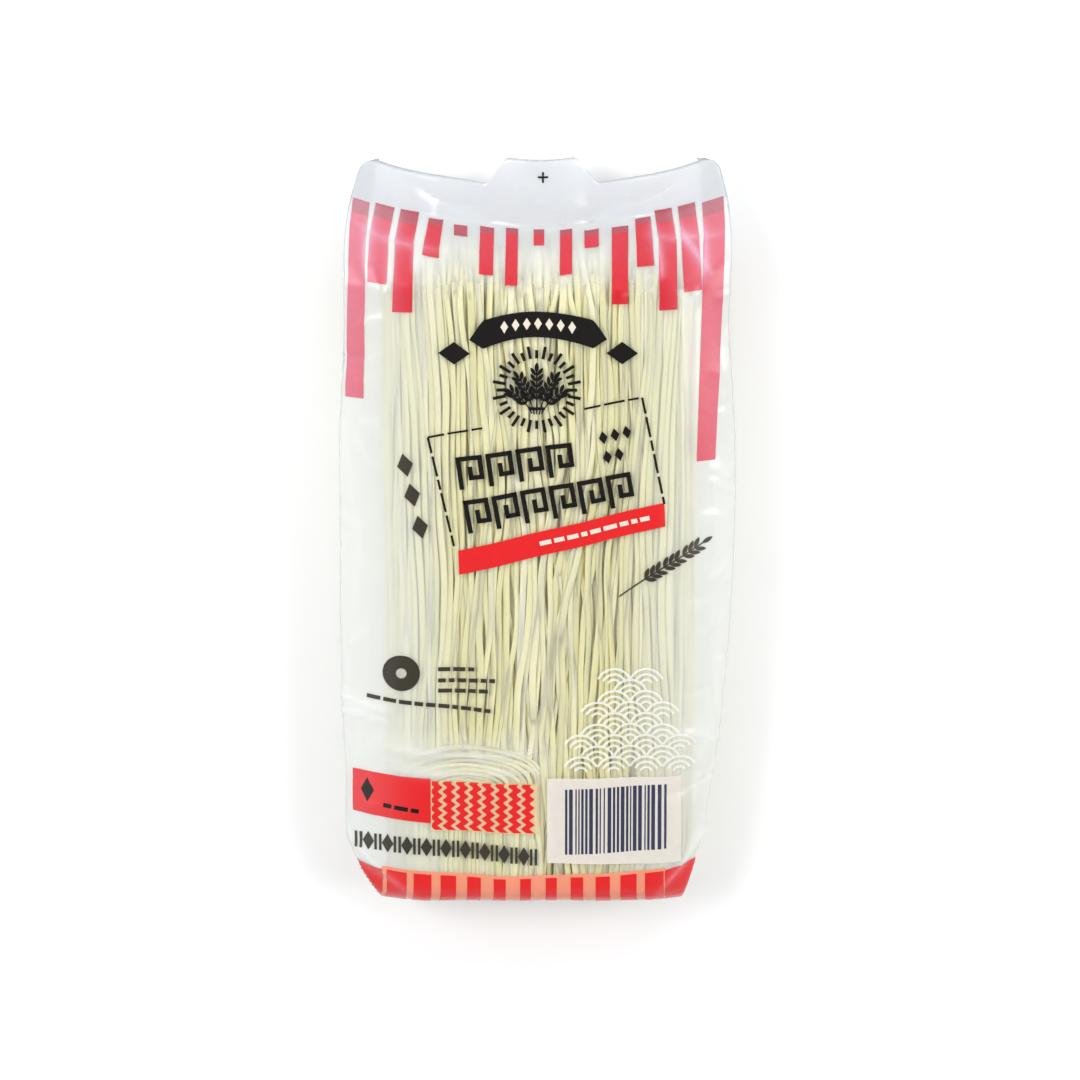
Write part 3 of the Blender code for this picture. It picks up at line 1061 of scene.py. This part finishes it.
def folded_noodles(name, rng, layers, material, lively=1.0):
    """Noodles folded round the foot. Neighbours wander together, and each a little by itself."""
    lateral, depth, phase, swing, tone = [], [], [], [], []
    for layer, count in layers:
        base = np.linspace(-0.985, 0.985, count) + rng.normal(0, 0.25 / count, count)
        group = np.minimum(np.arange(count) // 7, count // 7)
        group_phase = rng.uniform(0, TAU, (count // 7 + 1, 3))
        group_swing = rng.uniform(0.3, 1.0, count // 7 + 1)
        group_tone = rng.normal(0, 0.16, count // 7 + 1)
        lateral.append(base)
        depth.append(np.full(count, layer * NOODLE_LAYER))
        phase.append(group_phase[group] + rng.normal(0, 0.45, (count, 3)))
        swing.append(group_swing[group] * rng.uniform(0.8, 1.2, count))
        # Deeper layers are painted lighter, 0.06 of tone for each layer: painted light that lifts the shade
        # between strands
        tone.append(group_tone[group] + rng.normal(0, 0.2, count) + 0.06 * layer)
    lateral, depth = np.concatenate(lateral), np.concatenate(depth)
    phase, swing, tone = np.vstack(phase), np.concatenate(swing), np.concatenate(tone)
    count = len(lateral)
    top = rng.uniform(0.098, 0.113, count)
    far = FOOT_START - FOOT_ARC - (rng.uniform(0.098, 0.11, count) - FOOT_START)
    t = np.concatenate([np.linspace(*stretch, endpoint=False) for stretch in STRAND_RINGS] + [[1.0]])[None]
    way = top[:, None] + (far - top)[:, None] * t
    wander = 0.1 * lively * swing[:, None] * wave(way, 0.235, phase[:, :1])
    wander += 0.022 * lively * wave(way, 0.083, 3.0 * phase[:, 1:2])
    wander += 0.0035 * wave(way, 0.031, 7.0 * phase[:, 2:])
    fan = 0.05 * lateral[:, None] * smooth((way - 0.02) / 0.09)
    side = np.clip(lateral[:, None] + (1.0 - lateral[:, None] ** 2) * (wander + fan), -1.0, 1.0)
    weave = 0.00032 * (1.0 + wave(way, 0.094, 5.0 * phase[:, :1]))
    under = 0.0011 * smooth((-0.064 - way) / 0.008) * smooth((way + 0.11) / 0.01)
    under = under * smooth((0.08 - side) / 0.12) * (depth[:, None] < 0.0015)
    inside = depth[:, None] + weave + under
    centre, facing = in_bundle(side, way, inside)
    width, thickness = [rng.uniform(*sizes, count) * MM for sizes in ((1.7, 2.8), THICKNESSES)]
    roll = rng.normal(0, 0.2, (count, 1)) + 0.32 * wave(way, 0.16, phase[:, 1:2])
    return strand_mesh(name, material, centre, facing, width, thickness, roll, tone)


def side_noodles(rng, material):
    """Noodles along both sides of the bundle, turned in behind the folded ones at the foot."""
    made = []
    for side in (-1.0, 1.0):
        for layer in range(3):
            for level in np.linspace(0.0055, 0.0325, 17):
                made.append((side, layer, level + rng.normal(0, 0.0003)))
    side, layer, level = np.array(made).T
    count = len(side)
    t = np.linspace(0, 1, 52)[None]
    top = rng.uniform(0.094, 0.108, count)[:, None]
    y = top + (FOOT_START + 0.004 - top) * np.minimum(t / 0.93, 1.0)
    z = level[:, None] + 0.0009 * wave(y, 0.13, phases(rng, count))
    round_off = 0.0045 * np.abs((level - 0.019) / 0.014)[:, None] ** 3
    turn = smooth((t - 0.9) / 0.1)
    half = bundle_half(side[:, None], y) - 0.0005 - layer[:, None] * 0.0012 - round_off - 0.012 * turn
    half += 0.0005 * wave(y, 0.083, phases(rng, count))
    y = y - 0.003 * turn
    x = side[:, None] * half
    z_high, z_low = between_films(x, y, *SIDE_NOODLE_CLEARANCE)
    z = np.clip(z, z_low, np.maximum(z_high, z_low + 0.001))
    centre = np.stack([x, y, z], axis=-1)
    facing = side[:, None, None] * np.broadcast_to((1.0, 0.0, 0.0), centre.shape)
    width, thickness = [rng.uniform(*sizes, count) * MM for sizes in ((1.6, 2.5), THICKNESSES)]
    roll = rng.normal(0, 0.25, (count, 1)) + 0.3 * wave(y, 0.15, phases(rng, count))
    tone = rng.normal(0, TONE_SPREAD, count)
    return strand_mesh("noodles_sides", material, centre, facing, width, thickness, roll, tone)


def cut_ends(rng, material):
    """The cut ends at the top of the bundle, side by side through its whole thickness."""
    x, z = np.meshgrid(np.arange(-0.0545, 0.056, 0.00205), np.arange(0.0045, 0.0345, 0.00125))
    x = x + (np.arange(x.shape[0])[:, None] % 2) * 0.00102
    x = x.ravel() + rng.normal(0, 0.00025, x.size)
    z = z.ravel() + rng.normal(0, 0.00018, z.size)
    count = len(x)
    reach = rng.normal(0.1075, 0.0028, count)
    places = np.linspace(0.085, 0.118, 34)[None]
    high, low = between_films(*np.broadcast_arrays(x[:, None], places), *CUT_END_CLEARANCE)
    free = (z[:, None] < high) & (z[:, None] > low)
    limit = np.where(free, places, 0.0).max(axis=1) - 0.001 * (1.0 + np.sin(61.0 * np.arange(count)))
    keep = (limit > 0.086) & (np.abs(x) < 0.056 - 0.0035 * np.abs((z - 0.019) / 0.015) ** 3)
    x, z, reach = x[keep], z[keep], np.minimum(reach, limit)[keep]
    count = len(x)
    t = np.linspace(0, 1, 6)[None]
    y = reach[:, None] - 0.03 * t
    lean = rng.normal(0, 0.035, (count, 2))
    x, z = x[:, None] + lean[:, :1] * (y - 0.095), z[:, None] + 0.6 * lean[:, 1:] * (y - 0.095)
    centre = np.stack([x, y, z], axis=-1)
    facing = np.broadcast_to((0.0, 0.0, 1.0), centre.shape)
    width, thickness = [rng.uniform(*sizes, count) * MM for sizes in ((1.6, 2.4), THICKNESSES)]
    roll = rng.normal(0, 0.4, (count, 1)) + 0.0 * t
    tone = rng.normal(0, TONE_SPREAD, count)
    return strand_mesh("noodles_cut_ends", material, centre, facing, width, thickness, roll, tone)


def loops_at_foot(rng, material):
    """A short hank folded in nested arches at the lower left, each half an ellipse with legs."""
    count = 20
    radius = np.linspace(0.001, 0.029, count)[:, None]
    t = np.linspace(0, 1, 96)[None]
    arch = clamp((t - 0.25) / 0.5) * np.pi
    x = -0.0265 - radius * np.cos(arch) * (1.0 + 0.03 * rng.normal(0, 1, (count, 1)))
    rise = 0.46 * radius * np.abs(np.sin(arch)) ** 0.85
    leg = 0.044 * (clamp((0.25 - t) / 0.25) + clamp((t - 0.75) / 0.25))
    way = -0.095 + 0.22 * (radius - 0.0165) + rise - leg + rng.normal(0, 0.0006, (count, 1))
    way = way + 0.0006 * np.sin(7.0 * t + phases(rng, count))
    side = x / 0.0572
    inside = 0.0001 + 0.0005 * rng.uniform(0, 1, (count, 1))
    inside = inside + 0.0002 * np.sin(9.0 * t + phases(rng, count))
    centre, facing = in_bundle(side, way, inside)
    width, thickness = [rng.uniform(*sizes, count) * MM for sizes in ((1.5, 2.1), (0.75, 0.95))]
    roll = rng.normal(0, 0.2, (count, 1)) + 0.25 * np.sin(5.0 * t)
    tone = rng.normal(0.25, 0.2, count)
    return strand_mesh("noodles_short_hank", material, centre, facing, width, thickness, roll, tone)


def noodle_core(material):
    """The inside of the bundle, seen between noodles: a closed block with superelliptic sections."""
    stations = np.linspace(-0.1325, 0.086, 90)
    angle = TAU * np.arange(96) / 96
    y, turn = np.meshgrid(stations, angle, indexing="ij")
    ends = np.minimum((y - stations[0]) / 0.004, (stations[-1] - y) / 0.004)
    ends = 0.55 + 0.45 * np.sqrt(clamp(1.0 - (1.0 - clamp(ends)) ** 2))
    c, s = signed_power(np.cos(turn), 0.45), signed_power(np.sin(turn), 0.45)
    x = c * (bundle_half(c, y) - CORE_DEPTH[0]) * ends
    high, low = between_films(x, y, *CORE_DEPTH[1:])
    z = (high + low) / 2 + s * (high - low) / 2 * ends + 0.0003 * np.sin(TAU * x / 0.0021)
    points = np.stack([x, y, z], axis=-1)[:, ::-1]
    rows, columns = y.shape
    caps = [np.arange(columns)[None], (rows - 1) * columns + np.arange(columns)[::-1][None]]
    faces = [wrapped_faces(rows, columns)[:, ::-1], *caps]
    # The core's tone of 0.3 is painted lighter: painted light that lifts the shade seen between noodles
    piece = add_mesh("noodles_core", points.reshape(-1, 3), faces, np.full(y.shape, 0.3))
    return finish_piece(piece, material, "noodles")


def make_noodles(material):
    """The whole bundle."""
    rng = np.random.default_rng(77)
    folded_noodles("noodles_outer", rng, ((0, 52), (0.9, 60)), material)
    folded_noodles("noodles_middle", rng, ((1.8, 62), (2.7, 62)), material, 0.8)
    folded_noodles("noodles_inner", rng, ((3.7, 60), (4.8, 56)), material, 0.5)
    side_noodles(rng, material)
    cut_ends(rng, material)
    loops_at_foot(rng, material)
    noodle_core(material)


# Materials


def new_material(name):
    """An empty node material, its node tree and places on the object, in metres."""
    material = bpy.data.materials.new(name)
    material.use_nodes = True
    tree = material.node_tree
    tree.nodes.clear()
    return material, tree, node(tree, "TexCoord").outputs["Object"]


def node(tree, kind, settings=None, links=None):
    """Adds a node, sets its properties and sockets by name, and links its other inputs to sockets, or to the
    first output of nodes."""
    made = tree.nodes.new("ShaderNode" + kind)
    for key, value in (settings or {}).items():
        if isinstance(key, str) and hasattr(made, key):
            setattr(made, key, value)
        else:
            made.inputs[key].default_value = value
    for key, source in (links or {}).items():
        source = source if isinstance(source, bpy.types.NodeSocket) else source.outputs[0]
        tree.links.new(source, made.inputs[key])
    return made


def set_stops(ramp, *stops):
    """Gives a colour ramp its stops, each a place and a linear colour."""
    elements = ramp.color_ramp.elements
    for position, colour in stops[1:-1]:
        elements.new(position)
    for element, (position, colour) in zip(elements, stops):
        element.position, element.color = position, colour


# Sizes of patterns, in millimetres
RIPPLE_SIZE = 3.85
MOTTLE_SIZE = 2.4
CLOUD_SIZE = 4.2
GRAIN_SIZE = 0.67
PAPER_CLOUD_SIZE = 330.0


def film_material():
    """Cast polypropylene film, cast on a chilled roll: clear and glossy, milky where it stands off the
    noodles, with painted shade in the header and, through its haze, highlights painted white along folds, and
    with a skin of fine ripples that breaks its highlights into short bright lines."""
    material, tree, place = new_material("cast polypropylene film")
    stretched = node(tree, "Mapping", {"Scale": (1.0, 0.35, 1.0)}, {"Vector": place})
    settings = {"Scale": 1 / (RIPPLE_SIZE * MM), "Detail": 3.0, "Roughness": 0.55}
    ripple = node(tree, "TexNoise", settings, {"Vector": stretched})
    bump = node(tree, "Bump", {"Strength": 0.3, "Distance": 0.0004}, {"Height": ripple})
    haze = node(tree, "Attribute", {"attribute_name": "haze"}).outputs["Fac"]
    header_shade = node(tree, "Attribute", {"attribute_name": "header_shade"}).outputs["Fac"]
    tint = node(tree, "ValToRGB", {}, {"Fac": header_shade})
    # The header's colour E5E8EB is painted shade: the film's white made greyer and bluer there
    set_stops(tint, (0.0, linear("F5F8F8")), (1.0, linear("E5E8EB")))
    clear = node(tree, "BsdfTransparent", {"Color": linear("FDFEFE")})
    milk = node(tree, "BsdfDiffuse", {}, {"Color": tint})
    through = node(tree, "BsdfTranslucent", {}, {"Color": tint})
    white = node(tree, "MixShader", {"Fac": 0.3}, {1: milk, 2: through})
    body = node(tree, "MixShader", {}, {"Fac": haze, 1: clear, 2: white})
    facing = node(tree, "LayerWeight", {"Blend": 0.5}, {"Normal": bump}).outputs["Facing"]
    steep = node(tree, "Math", {"operation": "POWER", 1: 5.0}, {0: facing})
    shine = node(tree, "Math", {"operation": "MULTIPLY_ADD", 1: 0.45, 2: 0.045}, {0: steep})
    gloss = node(tree, "BsdfGlossy", {"Color": (1, 1, 1, 1), "Roughness": 0.14}, {"Normal": bump})
    surface = node(tree, "MixShader", {}, {"Fac": shine, 1: body, 2: gloss})
    node(tree, "OutputMaterial", {}, {"Surface": surface})
    return material


# Inks: colour, the colour that shows through, how much the ink covers, the whitened colour for faded ink and
# painted fold highlights, and mottle
INKS = {
    "thin red ink": ("CA1626", "FF8F98", 0.88, "E6D2EC", 0.14),
    "dull red ink": ("AC4452", "D8A0A4", 0.82, "DCCBD4", 0.16),
    "backed red ink": ("D8181A", "FF5050", 0.97, "F0DCE4"),
    "cream ink": ("F3D3A8", "F6E0C0", 0.66, "F4ECE0"),
    "peach tint": ("F2987A", "FFC4A8", 0.82, "F6DCD4"),
    "light mark ink": ("E4DCCB", "F6F4F2", 0.9, "F6F6F6"),
    "black ink": ("0C0A09", "241F1C", 0.98, "8E8880"),
    "blue black ink": ("32374E", "4A4C58", 0.96, "A8A8B0"),
    "grey ink": ("37332A", "5A564E", 0.93, "A09C92"),
    "white ink": ("E4DDD4", "F4F0EC", 0.82, "F2F0EE"),
    "white line ink": ("F4F5F2", "F6F4F2", 0.66, "F6F6F6"),
}


def ink_material(name, colour, veil, cover, wash_and_highlight_colour, mottle=0.1):
    """Flexographic ink on the outer face of the film: satin, faintly mottled where the plate left less of it,
    drawn to a whitened colour where it is faded and where highlights are painted along folds, and letting
    some light through as the veil colour."""
    material, tree, place = new_material(name)
    wash_and_highlight = node(tree, "Attribute", {"attribute_name": "wash_and_highlight"}).outputs["Fac"]
    noise = node(tree, "TexNoise", {"Scale": 1 / (MOTTLE_SIZE * MM), "Detail": 4.0}, {"Vector": place})
    amount = node(tree, "Math", {"operation": "MULTIPLY_ADD", 1: -mottle, 2: cover + mottle / 2}, {0: noise})
    tint = node(tree, "ValToRGB", {}, {"Fac": wash_and_highlight})
    set_stops(tint, (0.0, linear(colour)), (1.0, linear(wash_and_highlight_colour)))
    fine = node(tree, "TexNoise", {"Scale": 1 / (RIPPLE_SIZE * MM), "Detail": 3.0}, {"Vector": place})
    bump = node(tree, "Bump", {"Strength": 0.2, "Distance": 0.0004}, {"Height": fine})
    links = {"Base Color": tint, "Normal": bump}
    solid = node(tree, "BsdfPrincipled", {"Roughness": 0.24, "IOR": 1.45}, links)
    sheer = node(tree, "BsdfTransparent", {"Color": linear(veil)})
    surface = node(tree, "MixShader", {}, {"Fac": amount, 1: sheer, 2: solid})
    node(tree, "OutputMaterial", {}, {"Surface": surface})
    return material


def noodle_material():
    """Dried rice noodle, extruded and dried on racks: satin and faintly glassy, from chalky white to pale
    straw from strand to strand, with cloudier stretches along each."""
    material, tree, place = new_material("dried rice noodle")
    # The tone holds the strands' random differences and painted light: deeper layers and the core are lighter
    tone = node(tree, "Attribute", {"attribute_name": "tone"}).outputs["Fac"]
    lengthwise = node(tree, "Mapping", {"Scale": (1.0, 0.12, 1.0)}, {"Vector": place})
    cloud = node(tree, "TexNoise", {"Scale": 1 / (CLOUD_SIZE * MM), "Detail": 2.0}, {"Vector": lengthwise})
    mixed = node(tree, "Math", {"operation": "MULTIPLY_ADD", 1: 0.5, 2: 0.5}, {0: tone})
    shifted = node(tree, "Math", {"operation": "MULTIPLY_ADD", 1: 0.36, 2: -0.18}, {0: cloud})
    where = node(tree, "Math", {"operation": "ADD"}, {0: mixed, 1: shifted})
    ramp = node(tree, "ValToRGB", {}, {"Fac": where})
    set_stops(ramp, (0.0, linear("CFC892")), (0.5, linear("E3DCAC")), (1.0, linear("F4EDD1")))
    fine = node(tree, "TexNoise", {"Scale": 1 / (GRAIN_SIZE * MM), "Detail": 2.0}, {"Vector": lengthwise})
    bump = node(tree, "Bump", {"Strength": 0.25, "Distance": 0.0001}, {"Height": fine})
    settings = {"Roughness": 0.42, "IOR": 1.5, "Subsurface Weight": 0.5, "Subsurface Scale": 0.002}
    settings["Subsurface Radius"] = (1.0, 0.9, 0.6)
    shader = node(tree, "BsdfPrincipled", settings, {"Base Color": ramp, "Normal": bump})
    node(tree, "OutputMaterial", {}, {"Surface": shader})
    return material


def floor_material():
    """White paper sweep: matt, with a trace of cloudiness."""
    material, tree, place = new_material("white paper sweep")
    cloud = node(tree, "TexNoise", {"Scale": 1 / (PAPER_CLOUD_SIZE * MM), "Detail": 3.0}, {"Vector": place})
    ramp = node(tree, "ValToRGB", {}, {"Fac": cloud})
    set_stops(ramp, (0.0, linear("F6F6F6")), (1.0, linear("FAFAFA")))
    shader = node(tree, "BsdfPrincipled", {"Roughness": 0.9}, {"Base Color": ramp})
    node(tree, "OutputMaterial", {}, {"Surface": shader})
    return material


# Stage


def make_floor():
    """A wide white floor just under the bag."""
    signs = np.array(((-1, -1, 0), (1, -1, 0), (1, 1, 0), (-1, 1, 0)))
    corners = signs * FLOOR_HALF - (0, 0, FLOOR_DROP)
    floor = add_mesh("floor", corners, [np.array([[0, 1, 2, 3]])])
    floor.data.materials.append(floor_material())


def area_light(name, place, target, size, power, mirrored=True):
    """A soft light at a place, turned to a target, which glossy surfaces mirror or not."""
    data = bpy.data.lights.new(name, "AREA")
    data.shape = "RECTANGLE"
    data.size, data.size_y = size
    data.energy = power
    light = bpy.data.objects.new(name, data)
    light.visible_glossy = mirrored
    light.location = place
    light.rotation_euler = (Vector(target) - Vector(place)).to_track_quat("-Z", "Y").to_euler()
    bpy.context.scene.collection.objects.link(light)


def make_surround():
    """A pale surround, greyer overhead: brightness falls with the height of the direction."""
    world = bpy.data.worlds.new("pale surround")
    world.use_nodes = True
    tree = world.node_tree
    direction = node(tree, "TexCoord").outputs["Generated"]
    height = node(tree, "SeparateXYZ", {}, {"Vector": direction}).outputs["Z"]
    ramp = node(tree, "ValToRGB", {}, {"Fac": height})
    ramp.color_ramp.interpolation = "EASE"
    set_stops(ramp, (0.55, (0.84, 0.84, 0.85, 1.0)), (0.93, (0.26, 0.26, 0.27, 1.0)))
    tree.links.new(ramp.outputs["Color"], tree.nodes["Background"].inputs["Color"])
    bpy.context.scene.world = world


def make_lights():
    """Soft light from both sides and from beyond the header."""
    area_light("light_left", (-1.1, 0.5, 1.3), (0, 0, 0), (0.9, 0.9), 14.5)
    area_light("light_right", (1.2, 0.2, 1.2), (0, 0, 0), (0.9, 0.9), 11.5)
    area_light("light_top", (0.1, 1.5, 1.2), (0, 0, 0), (1.4, 0.5), 10.0, mirrored=False)


def make_camera():
    """The photograph's view: at the front, leaning to the header, from far enough to look flat."""
    away = Vector((0.0, np.sin(VIEW_TILT), np.cos(VIEW_TILT)))
    up = Vector((0.0, np.cos(VIEW_TILT), -np.sin(VIEW_TILT)))
    data = bpy.data.cameras.new("camera")
    data.sensor_width = SENSOR
    data.lens = SENSOR * CAMERA_DISTANCE / PICTURE_HEIGHT
    data.clip_start, data.clip_end = 0.1, 20.0
    camera = bpy.data.objects.new("camera", data)
    target = Vector((PICTURE_CENTRE_X, 0, 0)) + up * PICTURE_CENTRE_UP
    target += away * (CROWN_HEIGHT * np.cos(VIEW_TILT))
    camera.location = target + away * CAMERA_DISTANCE
    camera.rotation_euler = (-VIEW_TILT, 0.0, 0.0)
    bpy.context.scene.collection.objects.link(camera)
    bpy.context.scene.camera = camera


def main():
    make_camera()
    make_surround()
    make_lights()
    make_floor()
    bpy.context.scene.view_settings.view_transform = "Standard"
    make_noodles(noodle_material())
    make_print()
    make_film(film_material())


main()
